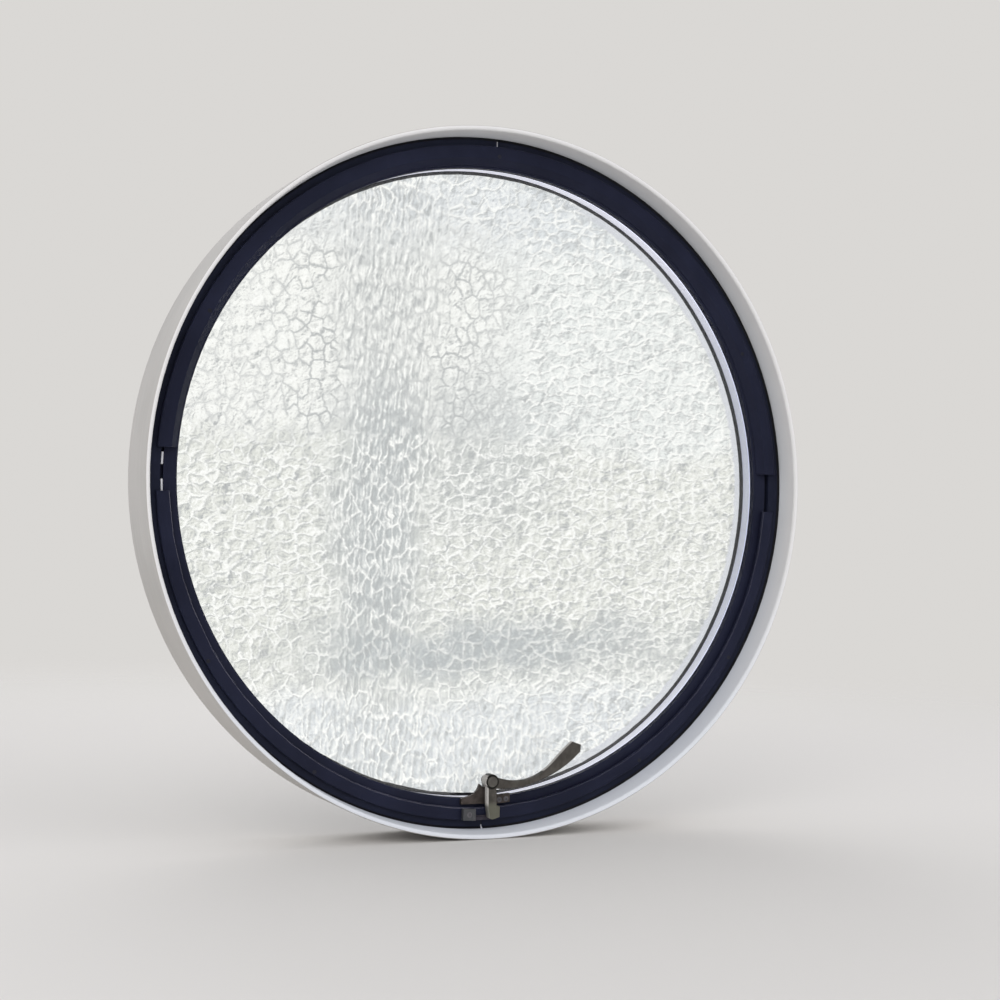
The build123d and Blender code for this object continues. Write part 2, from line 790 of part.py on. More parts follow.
with BuildPart() as keeper_screws:
    add(screw_set([keeper_screw_plane], bracket_screw_head, bracket_screw_r,
                  bracket_screw_length, socketed=True))
finish(keeper_screws, "keeper_screws")

with BuildPart() as pivot_plate_screws:
    add(screw_set(plate_screw_planes, plate_screw_head, plate_screw_r, plate_screw_length))
finish(pivot_plate_screws, "pivot_plate_screws")
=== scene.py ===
import math
import bmesh
import bpy
from mathutils import Matrix, Vector, noise


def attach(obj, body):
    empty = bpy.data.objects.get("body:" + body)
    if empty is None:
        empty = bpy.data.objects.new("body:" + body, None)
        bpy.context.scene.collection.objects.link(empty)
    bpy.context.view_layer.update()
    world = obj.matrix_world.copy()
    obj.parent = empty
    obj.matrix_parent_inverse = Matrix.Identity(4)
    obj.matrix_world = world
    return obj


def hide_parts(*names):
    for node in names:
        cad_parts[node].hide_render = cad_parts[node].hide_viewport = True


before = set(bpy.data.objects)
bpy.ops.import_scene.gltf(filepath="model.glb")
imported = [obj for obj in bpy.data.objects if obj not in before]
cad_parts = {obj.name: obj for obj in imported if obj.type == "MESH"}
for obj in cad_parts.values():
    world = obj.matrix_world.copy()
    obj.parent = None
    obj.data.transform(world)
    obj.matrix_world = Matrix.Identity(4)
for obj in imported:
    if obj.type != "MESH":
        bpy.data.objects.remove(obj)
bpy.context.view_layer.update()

scene = bpy.context.scene
scene.view_settings.view_transform = "Standard"

# Sizes of the window, in metres
SASH_R = 0.3100
PANE_R = 0.3057
PANE_FRONT = 0.0130
PANE_BACK = 0.0170
INNER_PANE_BACK = 0.0010
SPACER_BACK = 0.0123
SPACER_OUT_R = 0.3030
BEAD_R = 0.2954
FRAME_FACE = -0.0140
LINER_NOSE = -0.0405
LINER_BACK = 0.0080
LINER_R = 0.3314
HUB_X = 0.0045
HUB_Z = -0.2804
SPUR_STEP_Z = -0.303
STOP_R = 0.3032
PAD_RIGHT = -0.0094
FLOOR_Z = -0.3315
FLOOR_R = 4.0
EYE_PLACE = (-0.6463, -1.4551, -0.0585)
EAR_WIDTH = 0.0019
EAR_DEPTH = 0.0036
EAR_MIDDLE = -0.0098
EAR_STANDS_OUT = 0.0010
SEAL_GAP = 0.00005
SEAL_WAVE = 0.0006
SEAL_FINE_WAVE = 0.0004

# Uneven room side of the patterned pane, in metres
RIPPLE_LIFT = 0.00028
SWELL_LIFT = 0.00022
MEAN_LIFT = 0.0005
FLAT_RIM = 0.004

# Drawn cells of the patterned pane: width, height and where the pattern starts
LARGE_CELL = (0.0122, 0.0150, 0.0)
SMALL_CELL = (0.0150, 0.0100, 80.0)
LONG_CELL = (0.0085, 0.0200, 40.0)
CELL_CHANCE = 0.9

# Where the zones of the pattern and its painted shade bands are centred on the pane, in metres
BAND_X = -0.096
NEAR_BAND_X = -0.098
LEVEL_BAND_Z = -0.158
FINE_Z = -0.06
HEART_Z = -0.04
MIDDLE_Z = 0.03

# How far the drawn cells are bent, the shift of their shadow, and the step of a slope, in metres
BEND_X = 0.013
BEND_Z = 0.014
SHADOW_X = 0.0012
SHADOW_Z = 0.0015
SLOPE_X = 0.0012
SLOPE_Z = 0.0010

# A colour and a factor used in more than one place
PALE_ROOM = (0.70, 0.685, 0.665)
COAT_LIFT = 1.40


# Shader words
class Socket:
    """A shader output that takes sums, products and limits."""

    def __init__(self, finish, link):
        self.finish = finish
        self.link = link

    def maths(self, operation, *others, clamp=False):
        node = self.finish.add("ShaderNodeMath", {"operation": operation, "use_clamp": clamp},
                               dict(enumerate((self,) + others)))
        return node.out(0)

    def __add__(self, other):
        return self.maths("ADD", other)

    __radd__ = __add__

    def __mul__(self, other):
        return self.maths("MULTIPLY", other)

    __rmul__ = __mul__

    def __sub__(self, other):
        return self.maths("SUBTRACT", other)

    def __rsub__(self, other):
        return (self * -1.0) + other

    def most(self, other):
        return self.maths("MAXIMUM", other)

    def clear_of_ends(self):
        return self.maths("ADD", 0.0, clamp=True)

    def size(self):
        return self.maths("ABSOLUTE")

    def step(self, low, high):
        """0 below low and 1 above high, smooth between."""
        node = self.finish.add("ShaderNodeMapRange", {"interpolation_type": "SMOOTHSTEP"},
                               {"Value": self, "From Min": low, "From Max": high,
                                "To Min": 0.0, "To Max": 1.0})
        return node.out("Result")


class Placed:
    """A node in a finish, with its outputs as sockets."""

    def __init__(self, finish, node):
        self.finish = finish
        self.node = node

    def out(self, name=0):
        return Socket(self.finish, self.node.outputs[name])


class Finish:
    """A material whose nodes are added by one method."""

    def __init__(self, tree):
        self.tree = tree
        self.count = 0

    def add(self, kind, settings=None, inputs=None):
        node = self.tree.nodes.new(kind)
        node.location = (220 * (self.count % 9) - 1800, -190 * (self.count // 9))
        self.count += 1
        for name, value in (settings or {}).items():
            setattr(node, name, value)
        for name, value in (inputs or {}).items():
            target = node.inputs[name]
            if isinstance(value, Socket):
                self.tree.links.new(value.link, target)
            elif isinstance(value, (tuple, list)) and target.type == "RGBA":
                target.default_value = (*value, 1.0)
            else:
                target.default_value = value
        return Placed(self, node)

    def place(self, scale=(1.0, 1.0, 1.0), move=(0.0, 0.0, 0.0)):
        """The piece's own coordinates, moved and scaled."""
        where = self.add("ShaderNodeTexCoord").out("Object")
        return self.add("ShaderNodeMapping", {"vector_type": "POINT"},
                        {"Vector": where, "Location": move, "Scale": scale}).out()

    def split(self, vector):
        parts = self.add("ShaderNodeSeparateXYZ", None, {0: vector})
        return parts.out(0), parts.out(1), parts.out(2)

    def join(self, x, y, z):
        return self.add("ShaderNodeCombineXYZ", None, {0: x, 1: y, 2: z}).out()

    def distance(self, x, z):
        """How far a place is from the ring's axis."""
        return self.add("ShaderNodeVectorMath", {"operation": "LENGTH"},
                        {0: self.join(x, 0.0, z)}).out("Value")

    def noise(self, vector, scale, detail=3.0, rough=0.5):
        return self.add("ShaderNodeTexNoise", None,
                        {"Vector": vector, "Scale": scale, "Detail": detail,
                         "Roughness": rough}).out(0)

    def mix(self, factor, one, two):
        return self.add("ShaderNodeMix", {"data_type": "RGBA"},
                        {0: factor, 6: one, 7: two}).out(2)

    def bump(self, height, strength, distance):
        return self.add("ShaderNodeBump", None,
                        {"Height": height, "Strength": strength, "Distance": distance}).out()

    def surface(self, **inputs):
        named = {key.replace("_", " "): value for key, value in inputs.items()}
        shader = self.add("ShaderNodeBsdfPrincipled", None, named)
        self.end(shader.out())

    def end(self, shader):
        ending = self.tree.nodes.new("ShaderNodeOutputMaterial")
        self.tree.links.new(shader.link, ending.inputs["Surface"])


def finish_called(name):
    material = bpy.data.materials.new(name)
    material.use_nodes = True
    material.node_tree.nodes.clear()
    return material, Finish(material.node_tree)


# Camera
def set_camera():
    """The eye of the photo, to the left of the window and a little below its centre."""
    lens = bpy.data.cameras.new("eye")
    lens.sensor_width = 36.0
    lens.lens = 60.2
    eye = bpy.data.objects.new("eye", lens)
    yaw, pitch, roll = 0.4283, 0.0265, -0.024
    forward = Vector((math.sin(yaw) * math.cos(pitch), math.cos(yaw) * math.cos(pitch),
                      math.sin(pitch)))
    level = Vector((math.cos(yaw), -math.sin(yaw), 0.0))
    upright = level.cross(forward)
    across = level * math.cos(roll) - upright * math.sin(roll)
    rise = level * math.sin(roll) + upright * math.cos(roll)
    turn = Matrix((across, rise, -forward)).transposed().to_4x4()
    eye.matrix_world = Matrix.Translation(EYE_PLACE) @ turn
    scene.collection.objects.link(eye)
    scene.camera = eye


# Light, world and floor
def set_world():
    """Pale room for the camera, darker in mirrored rays and bright outdoors through the glass."""
    world = bpy.data.worlds.new("room")
    scene.world = world
    world.use_nodes = True
    world.node_tree.nodes.clear()
    air = Finish(world.node_tree)
    direction = air.add("ShaderNodeTexCoord").out("Generated")
    across, depth, height = air.split(direction)
    rays = air.add("ShaderNodeLightPath")
    seen = rays.out("Is Camera Ray")
    through = rays.out("Is Transmission Ray")
    mirrored = rays.out("Is Glossy Ray")
    cloud = air.noise(direction, 9.0, 2.0)
    sky = air.mix((cloud - 0.5) * 1.2 + 0.5, (0.95, 0.96, 0.965), (1.0, 1.0, 0.99))
    soft = air.mix(height.step(-0.6, 0.5), (0.72, 0.72, 0.75), (0.84, 0.84, 0.86))
    wall = air.mix(seen, soft, PALE_ROOM)
    room = air.mix(height.step(0.2, 0.9), (0.10, 0.10, 0.11), (0.50, 0.50, 0.53))
    room = air.mix(across.step(-0.2, -0.9), room, (0.24, 0.24, 0.26))
    around = air.mix(depth.step(0.0, 0.45), room, (0.95, 0.97, 1.0))
    wall = air.mix(mirrored, wall, around)
    glow = air.add("ShaderNodeBackground", None, {"Color": air.mix(through, wall, sky),
                                                  "Strength": through * 0.09 + 1.0})
    ending = world.node_tree.nodes.new("ShaderNodeOutputWorld")
    world.node_tree.links.new(glow.out().link, ending.inputs["Surface"])


def soft_light(name, place, aim, size, power, colour=(1.0, 1.0, 1.0)):
    """Round soft lamp that shows neither in mirrored rays nor through the glass."""
    lamp = bpy.data.lights.new(name, "AREA")
    lamp.shape = "DISK"
    lamp.size = size
    lamp.energy = power
    lamp.color = colour
    holder = bpy.data.objects.new(name, lamp)
    holder.location = place
    holder.rotation_euler = (Vector(aim) - Vector(place)).to_track_quat("-Z", "Y").to_euler()
    holder.visible_transmission = False
    holder.visible_glossy = False
    scene.collection.objects.link(holder)


def lay_floor():
    """Pale floor that fades out far away and isn't seen through the glass."""
    shape = bmesh.new()
    bmesh.ops.create_circle(shape, cap_ends=True, segments=96, radius=FLOOR_R,
                            matrix=Matrix.Translation((0.0, 0.0, FLOOR_Z)))
    floor = piece_from(shape, "floor")
    material, tone = finish_called("floor_pale")
    reach = tone.add("ShaderNodeVectorMath", {"operation": "LENGTH"},
                     {0: tone.place((1.0, 1.0, 0.0))}).out("Value")
    rays = tone.add("ShaderNodeLightPath")
    paper = tone.add("ShaderNodeBsdfDiffuse", None, {"Color": PALE_ROOM}).out()
    clear = tone.add("ShaderNodeBsdfTransparent").out()
    gone = reach.step(0.7, 2.4).most(rays.out("Is Transmission Ray"))
    tone.end(tone.add("ShaderNodeMixShader", None, {0: gone, 1: paper, 2: clear}).out())
    floor.data.materials.append(material)


# Mesh helpers
def piece_from(shape, name):
    """The object made from a finished shape, in the scene."""
    mesh = bpy.data.meshes.new(name)
    shape.to_mesh(mesh)
    shape.free()
    piece = bpy.data.objects.new(name, mesh)
    scene.collection.objects.link(piece)
    return piece


def softened(node, body, width, painted_highlight_side=False):
    """A copy of a solid with eased edges. They are marked for a painted highlight, or its left side
    is marked instead if asked.
    """
    sharp_edge = math.radians(25.0)
    left_facing = -0.55
    shape = bmesh.new()
    shape.from_mesh(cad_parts[node].data)
    painted_highlight = shape.faces.layers.float.new("painted_highlight")
    bmesh.ops.remove_doubles(shape, verts=shape.verts, dist=0.00002)
    bmesh.ops.dissolve_limit(shape, angle_limit=math.radians(3.0), verts=shape.verts,
                             edges=shape.edges, delimit=set())
    edges = [edge for edge in shape.edges
             if len(edge.link_faces) == 2 and edge.calc_face_angle(0.0) > sharp_edge]
    eased = bmesh.ops.bevel(shape, geom=edges, offset=width, offset_type="OFFSET",
                            affect="EDGES", segments=2, profile=0.5, material=-1,
                            clamp_overlap=True, harden_normals=False)["faces"]
    # Eased edges are marked to carry a painted highlight.
    for face in eased:
        face[painted_highlight] = 1.0
    shape.normal_update()
    if painted_highlight_side:
        for face in shape.faces:
            face[painted_highlight] = 1.0 if face.normal.x < left_facing else 0.0
    piece = piece_from(shape, node + "_eased")
    piece.data.shade_smooth()
    piece.data.set_sharp_from_angle(angle=math.radians(38.0))
    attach(piece, body)
    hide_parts(node)
    return piece


def dress(names, material):
    """Puts one material on every slot of these CAD nodes."""
    for name in names:
        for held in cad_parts[name].material_slots:
            held.material = material


# Finishes
def powder_coat(name, colour):
    """Navy-black coat with a fine skin, faint cloudiness and a little dust."""
    material, coat = finish_called(name)
    here = coat.place()
    cloud = coat.noise(here, 14.0, 4.0, 0.6)
    skin = coat.noise(here, 950.0, 2.0, 0.5)
    dust = coat.noise(here, 420.0, 3.0, 0.7).step(0.64, 0.80)
    pale = tuple(part * COAT_LIFT for part in colour)
    shade = coat.mix(cloud.step(0.3, 0.75), colour, pale)
    shade = coat.mix(dust * 0.08, shade, (0.11, 0.11, 0.13))
    coat.surface(Base_Color=shade, Roughness=cloud * 0.16 + 0.34, IOR=1.45,
                 Specular_IOR_Level=0.16, Normal=coat.bump(skin, 0.12, 0.0002))
    return material


def liner_white():
    """Satin white lining with painted light: cool near the frame, warm toward the room, cooler and
    a little darker low down; bare primed outer side.
    """
    material, coat = finish_called("satin_white")
    x, depth, z = coat.split(coat.place())
    around = coat.distance(x, z)
    cloud = coat.noise(coat.place(), 7.0, 4.0, 0.6)
    grain = coat.noise(coat.place(), 260.0, 3.0, 0.6)
    scuff = coat.noise(coat.place((3.0, 60.0, 3.0)), 5.0, 5.0, 0.7).step(0.60, 0.80)
    # Painted light: the tint runs from cool near the frame to warm toward the room, and is cooler
    # and a little darker low down.
    toward_room = 1.0 - (depth + (cloud - 0.5) * 0.006).step(LINER_NOSE, FRAME_FACE)
    low = 1.0 - z.step(-0.28, -0.02)
    painted_near_frame_tint = coat.mix(low, (0.79, 0.81, 0.835), (0.73, 0.765, 0.83))
    shade = coat.mix(toward_room, painted_near_frame_tint, coat.mix(low, (0.82, 0.81, 0.805), (0.76, 0.785, 0.835)))
    shade = coat.mix(cloud.step(0.55, 0.8) * 0.25, shade, (0.68, 0.71, 0.77))
    shade = coat.mix(scuff * 0.25, shade, (0.56, 0.58, 0.62))
    turn = x.maths("ARCTAN2", z)
    stroke = coat.noise(coat.join(turn * 3.0, depth * 420.0, 0.0), 1.0, 4.0, 0.65)
    primer = coat.mix(cloud.step(0.3, 0.7), (0.43, 0.415, 0.39), (0.50, 0.48, 0.455))
    primer = coat.mix(stroke.step(0.48, 0.72) * 0.35, primer, (0.62, 0.60, 0.57))
    outer = around.step(LINER_R - 0.0007, LINER_R - 0.0004)
    behind = depth.step(LINER_BACK, LINER_BACK + 0.001)
    shade = coat.mix(outer.most(behind), shade, primer)
    coat.surface(Base_Color=shade, Roughness=cloud * 0.15 + 0.42, Specular_IOR_Level=0.35,
                 Normal=coat.bump(grain, 0.10, 0.0003))
    return material


def edge_highlight_coat(name, colour, scuff_and_highlight_colour):
    """Powder coat with a painted grey highlight along its marked inner edges, fainter on the right.
    """
    material, coat = finish_called(name)
    cloud = coat.noise(coat.place(), 14.0, 4.0, 0.6)
    skin = coat.noise(coat.place(), 950.0, 2.0, 0.5)
    highlight_break = coat.noise(coat.place(), 30.0, 4.0, 0.7).step(0.30, 0.62)
    painted_highlight = coat.add("ShaderNodeAttribute", {"attribute_name": "painted_highlight"}).out("Fac")
    x, _, z = coat.split(coat.place())
    painted_highlight = painted_highlight * (1.0 - coat.distance(x, z).step(STOP_R + 0.003, STOP_R + 0.006))
    painted_highlight = painted_highlight * (1.0 - x.step(-0.02, 0.08) * 0.6)
    pale = tuple(part * COAT_LIFT for part in colour)
    shade = coat.mix(cloud.step(0.3, 0.75), colour, pale)
    # Painted highlight: the marked inner edges turn pale grey, broken up by noise.
    shade = coat.mix(painted_highlight * (highlight_break * 0.5 + 0.5), shade, scuff_and_highlight_colour)
    coat.surface(Base_Color=shade, Roughness=cloud * 0.16 + 0.34, IOR=1.45,
                 Specular_IOR_Level=0.16, Normal=coat.bump(skin, 0.12, 0.0002))
    return material


def bronze(name, low, high, scuff_and_highlight_colour, metallic=0.75):
    """Dark cast bronze with a brown-grey bloom, scuffed pale in spots."""
    material, cast = finish_called(name)
    patch = cast.noise(cast.place(), 95.0, 4.0, 0.6)
    grain = cast.noise(cast.place(), 900.0, 3.0, 0.6)
    spots = cast.noise(cast.place(move=(0.3, 0.1, 0.2)), 160.0, 5.0, 0.7).step(0.58, 0.74)
    shade = cast.mix(patch.step(0.3, 0.7), low, high)
    shade = cast.mix(spots * 0.35, shade, scuff_and_highlight_colour)
    cast.surface(Base_Color=shade, Metallic=metallic,
                 Roughness=0.46 - spots * 0.12 + grain * 0.08,
                 Normal=cast.bump(grain, 0.22, 0.0003))
    return material


def lever_bronze():
    """Handle: brown-grey, greener at the spur's foot, black round the pin, with a painted pale
    highlight on its left side.
    """
    material, cast = finish_called("lever_bronze")
    x, _, z = cast.split(cast.place())
    patch = cast.noise(cast.place(), 95.0, 4.0, 0.6)
    streak = cast.noise(cast.place((2.6, 1.0, 0.8)), 120.0, 4.0, 0.6)
    grain = cast.noise(cast.place(), 900.0, 3.0, 0.6)
    from_pin = cast.distance(x - HUB_X, z - HUB_Z)
    ring = from_pin.step(0.0044, 0.0052) * (1.0 - from_pin.step(0.0066, 0.0078))
    foot = 1.0 - z.step(SPUR_STEP_Z - 0.001, SPUR_STEP_Z + 0.006)
    # Painted highlight on the left-facing side, faint on the foot below the spur's step and a
    # little weaker at the pin.
    painted_highlight = cast.add("ShaderNodeAttribute", {"attribute_name": "painted_highlight"}).out("Fac")
    painted_highlight = painted_highlight * (1.0 - z.step(HUB_Z - 0.007, HUB_Z - 0.003) * 0.15)
    painted_highlight = painted_highlight * (z.step(SPUR_STEP_Z - 0.002, SPUR_STEP_Z + 0.003) * 0.8 + 0.2)
    shade = cast.mix(patch.step(0.3, 0.7), (0.088, 0.081, 0.071), (0.140, 0.129, 0.114))
    shade = cast.mix(foot * 0.8, shade, (0.215, 0.215, 0.165))
    shade = cast.mix(streak.step(0.5, 0.8) * 0.4, shade, (0.26, 0.24, 0.21))
    shade = cast.mix(ring, shade, (0.020, 0.019, 0.015))
    # The painted highlight is pale and less metallic.
    shade = cast.mix(painted_highlight * (patch * 0.3 + 0.75).clear_of_ends(), shade, (0.70, 0.67, 0.63))
    cast.surface(Base_Color=shade, Metallic=0.65 - painted_highlight * 0.6,
                 Roughness=streak * 0.12 + 0.40, Normal=cast.bump(grain, 0.22, 0.0003))
    return material


def keeper_bronze():
    """Keeper: a grey cast pad and a darker purplish strip on its right."""
    material, cast = finish_called("keeper_bronze")
    x, _, _ = cast.split(cast.place())
    patch = cast.noise(cast.place(), 110.0, 4.0, 0.6)
    grain = cast.noise(cast.place(), 900.0, 3.0, 0.6)
    pad = cast.mix(patch.step(0.3, 0.7), (0.080, 0.085, 0.088), (0.115, 0.115, 0.122))
    strip = cast.mix(patch.step(0.3, 0.7), (0.030, 0.026, 0.036), (0.060, 0.052, 0.068))
    shade = cast.mix(x.step(PAD_RIGHT - 0.0004, PAD_RIGHT + 0.0004), pad, strip)
    cast.surface(Base_Color=shade, Metallic=0.45, Roughness=patch * 0.12 + 0.44,
                 Normal=cast.bump(grain, 0.22, 0.0003))
    return material


def brushed(name, colour, rough, along=(1.0, 1.0, 1.0), metallic=0.85):
    """Metal with fine drawn lines."""
    material, metal = finish_called(name)
    lines = metal.noise(metal.place(along), 300.0, 3.0, 0.6)
    cloud = metal.noise(metal.place(), 40.0, 3.0)
    dull = tuple(part * 0.85 for part in colour)
    metal.surface(Base_Color=metal.mix(cloud.step(0.3, 0.7), dull, colour), Metallic=metallic,
                  Roughness=lines * 0.18 + rough, Normal=metal.bump(lines, 0.10, 0.0002))
    return material


def spacer_foil():
    """Pale spacer with a glow for the daylight caught between the panes, most at top and foot."""
    material, foil = finish_called("spacer_foil")
    _, _, z = foil.split(foil.place())
    lines = foil.noise(foil.place((1.0, 3.0, 1.0)), 300.0, 3.0, 0.6)
    cloud = foil.noise(foil.place(), 60.0, 3.0)
    ends = (z.size() + (cloud - 0.5) * 0.04).step(0.05, 0.32)
    foil.surface(Base_Color=foil.mix(lines, (0.60, 0.61, 0.66), (0.72, 0.73, 0.77)),
                 Metallic=0.0, Roughness=lines * 0.12 + 0.45, Emission_Strength=1.0,
                 Emission_Color=foil.mix(ends, (0.29, 0.305, 0.37), (0.58, 0.58, 0.66)),
                 Normal=foil.bump(lines, 0.08, 0.0002))
    return material


def joint_tongue_finish(name, dark_until):
    """Bright key whose tongue shows only past this radius."""
    material, key = finish_called(name)
    x, _, z = key.split(key.place())
    lines = key.noise(key.place((1.0, 4.0, 1.0)), 300.0, 3.0, 0.6)
    shown = key.distance(x, z).step(dark_until - 0.0002, dark_until + 0.0002)
    metal = key.mix(lines, (0.74, 0.74, 0.78), (0.86, 0.86, 0.88))
    key.surface(Base_Color=key.mix(shown, (0.02, 0.02, 0.03), metal), Metallic=0.5,
                Roughness=lines * 0.18 + 0.32, Normal=key.bump(lines, 0.10, 0.0002))
    return material


def rubber(name, colour, rough):
    """Matt rubber or sealant with a fine skin."""
    material, skin = finish_called(name)
    grain = skin.noise(skin.place(), 700.0, 3.0)
    wave = skin.noise(skin.place(), 90.0, 2.0)
    pale = tuple(part * 1.9 for part in colour)
    skin.surface(Base_Color=skin.mix(wave.step(0.4, 0.8), colour, pale),
                 Roughness=grain * 0.2 + rough, Specular_IOR_Level=0.3,
                 Normal=skin.bump(grain + wave, 0.15, 0.0003))
    return material


def frame_sealant():
    """Black tooled sealant with a pale smear across it at the lower seam."""
    material, skin = finish_called("black_sealant")
    x, _, z = skin.split(skin.place())
    grain = skin.noise(skin.place(), 700.0, 3.0)
    wave = skin.noise(skin.place(), 60.0, 3.0)
    smear = (1.0 - x.size().step(0.0005, 0.0009)) * (1.0 - z.step(-0.30, -0.29))
    shade = skin.mix(wave.step(0.4, 0.8), (0.006, 0.006, 0.009), (0.013, 0.013, 0.017))
    skin.surface(Base_Color=skin.mix(smear, shade, (0.62, 0.62, 0.68)),
                 Roughness=grain * 0.2 + 0.42, Specular_IOR_Level=0.3,
                 Normal=skin.bump(grain + wave, 0.15, 0.0003))
    return material


def clear_glass():
    """Clear float glass with a faint smear."""
    material, glass = finish_called("clear_float")
    smear = glass.noise(glass.place((1.0, 1.0, 0.35)), 9.0, 4.0, 0.6).step(0.5, 0.8)
    glass.surface(Base_Color=(0.993, 0.997, 0.994), Roughness=smear * 0.02, IOR=1.5,
                  Specular_IOR_Level=0.25, Transmission_Weight=1.0)
    return material


def cell_place(glass, x, z, cell):
    """A place on the pane, counted in cells."""
    wide, tall, start = cell
    return glass.join(x * (1.0 / wide) + start, z * (1.0 / tall), 0.0)


def cell_line(glass, x, z, cell, width):
    """1 on the borders of drawn cells, falling to 0 beside them."""
    spot = cell_place(glass, x, z, cell)
    border = glass.add("ShaderNodeTexVoronoi",
                       {"feature": "DISTANCE_TO_EDGE", "voronoi_dimensions": "2D"},
                       {"Vector": spot, "Scale": 1.0, "Randomness": CELL_CHANCE}).out("Distance")
    return 1.0 - border.step(0.0, width)


def cell_tone(glass, x, z, cell):
    """A chance tone for each cell, from 0 to 1, the same all over the cell."""
    spot = cell_place(glass, x, z, cell)
    tint = glass.add("ShaderNodeTexVoronoi", {"feature": "F1", "voronoi_dimensions": "2D"},
                     {"Vector": spot, "Scale": 1.0, "Randomness": CELL_CHANCE}).out("Color")
    return glass.split(tint)[0]


def net_of_cells(glass, x, z, fine, upright):
    """Borders of large cells, of small flat ones where it is fine, of long ones in the band."""
    large = cell_line(glass, x, z, LARGE_CELL, 0.14)
    small = cell_line(glass, x, z, SMALL_CELL, 0.20)
    long = cell_line(glass, x, z, LONG_CELL, 0.17)
    crossing = large + (small - large) * fine
    return crossing + (long - crossing) * upright


def slope_of(glass, x, z, seed, scale, gain):
    """Fall of a noisy surface toward the upper left: above 0 it faces the light."""
    here = glass.noise(glass.join(x, seed, z), scale, 3.0, 0.6)
    beside = glass.noise(glass.join(x + SLOPE_X, seed, z - SLOPE_Z), scale, 3.0, 0.6)
    return (beside - here) * gain


